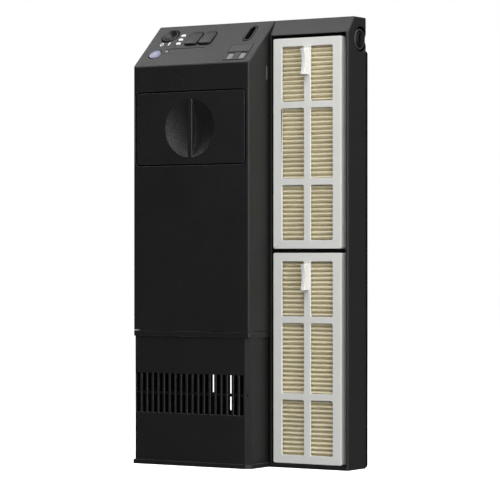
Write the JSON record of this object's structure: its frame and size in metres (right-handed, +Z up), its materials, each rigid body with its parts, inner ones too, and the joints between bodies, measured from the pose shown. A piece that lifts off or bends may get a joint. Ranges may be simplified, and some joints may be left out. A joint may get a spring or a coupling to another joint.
{
  "type": "filter",
  "caption": "Slim two-tower box filter with a sloping control deck, a pull-out media drawer, a slotted intake base, pleated cartridges and a swivelling side outlet.",
  "frame": {"origin": "middle of the base, on the surface it stands on", "axes": "+Z up, -Y towards the front with the drawer and the cartridges, +X towards the side with the outlet"},
  "size_m": [0.1554, 0.051, 0.3],
  "materials": {
    "casing": "black moulded plastic with a fine spark-eroded grain",
    "deck_parts": "dark grey moulded plastic, satin",
    "white_plastic": "white moulded plastic, satin",
    "pleat_paper": "folded cream filter paper",
    "rubber": "black soft rubber",
    "foam": "dark blue open-cell foam",
    "media": "off-white filter media",
    "inner_plastic": "dark grey plastic",
    "resin": "black potting resin",
    "magnet": "dark ferrite magnet",
    "ceramic": "polished white ceramic",
    "steel": "stainless steel",
    "board": "green circuit board",
    "light": "white light window",
    "lens": "pale lavender lens",
    "pane": "grey window"
  },
  "bodies": {
    "casing": {"tower_casing": "casing", "intake_base": "casing", "cartridge_housing": "casing", "back_cover": "casing", "cable_slot_lining": "rubber", "control_board": "board", "dial_encoder": "inner_plastic", "key_membrane": "rubber", "indicator_lens": "lens", "status_light": "light", "level_light_1": "light", "level_light_2": "light", "level_light_3": "light", "status_bezel": "deck_parts", "left_pane": "pane", "right_pane": "pane", "drawer_cradle": "inner_plastic", "crossover_sleeve": "rubber", "foam_grid": "inner_plastic", "prefilter_foam": "foam", "motor_block": "resin", "pump_volute": "inner_plastic", "volute_cover": "inner_plastic", "pump_bracket": "inner_plastic", "rotor_shaft": "ceramic", "lower_bush": "rubber", "upper_bush": "rubber", "riser_pipe": "inner_plastic", "outlet_duct": "inner_plastic", "duct_seal": "rubber", "outlet_ring": "casing", "cover_screw_1": "steel", "cover_screw_2": "steel", "cover_screw_3": "steel", "cover_screw_4": "steel", "cover_screw_5": "steel", "cover_screw_6": "steel", "cover_screw_7": "steel", "cover_screw_8": "steel"},
    "media_drawer": {"drawer_front": "casing", "drawer_tray": "inner_plastic", "drawer_seal": "rubber", "media_block": "media"},
    "upper_cartridge": {"upper_cartridge_frame": "white_plastic", "upper_pleat_pack": "pleat_paper", "upper_cartridge_seal": "rubber"},
    "lower_cartridge": {"lower_cartridge_frame": "white_plastic", "lower_pleat_pack": "pleat_paper", "lower_cartridge_seal": "rubber"},
    "rotor": {"rotor_magnet": "magnet", "impeller": "white_plastic"},
    "collar": {"outlet_collar": "inner_plastic"},
    "nozzle": {"outlet_nozzle": "resin"},
    "dial": {"flow_dial": "deck_parts"},
    "key_left": {"left_key": "deck_parts"},
    "key_right": {"right_key": "deck_parts"}
  },
  "joints": [
    {"name": "drawer_slide", "type": "slide", "parent": "casing", "child": "media_drawer", "axis": [0, -1, 0], "range_m": [0, 0.046]},
    {"name": "upper_cartridge_slide", "type": "slide", "parent": "casing", "child": "upper_cartridge", "axis": [0, -1, 0], "range_m": [0, 0.03]},
    {"name": "lower_cartridge_slide", "type": "slide", "parent": "casing", "child": "lower_cartridge", "axis": [0, -1, 0], "range_m": [0, 0.03]},
    {"name": "rotor_spin", "type": "hinge", "parent": "casing", "child": "rotor", "pos_m": [-0.03415, 0.0043, 0.12], "axis": [0, 0, 1], "continuous": true},
    {"name": "collar_turn", "type": "hinge", "parent": "casing", "child": "collar", "pos_m": [0.07405, 0.0157, 0.2853], "axis": [1, 0, 0], "range_deg": [-90, 90]},
    {"name": "nozzle_tilt", "type": "hinge", "parent": "collar", "child": "nozzle", "pos_m": [0.07405, 0.0157, 0.2853], "axis": [0, 0, 1], "range_deg": [-18, 18]},
    {"name": "dial_turn", "type": "hinge", "parent": "casing", "child": "dial", "pos_m": [-0.06345, -0.00107, 0.29267], "axis": [0, -0.6721, 0.7405], "range_deg": [0, 270]},
    {"name": "left_key_press", "type": "slide", "parent": "casing", "child": "key_left", "axis": [0, 0.6721, -0.7405], "range_m": [0, 0.0014], "stiffness_N_per_m": 400, "springref_m": -0.0006},
    {"name": "right_key_press", "type": "slide", "parent": "casing", "child": "key_right", "axis": [0, 0.6721, -0.7405], "range_m": [0, 0.0014], "stiffness_N_per_m": 400, "springref_m": -0.0006}
  ]
}
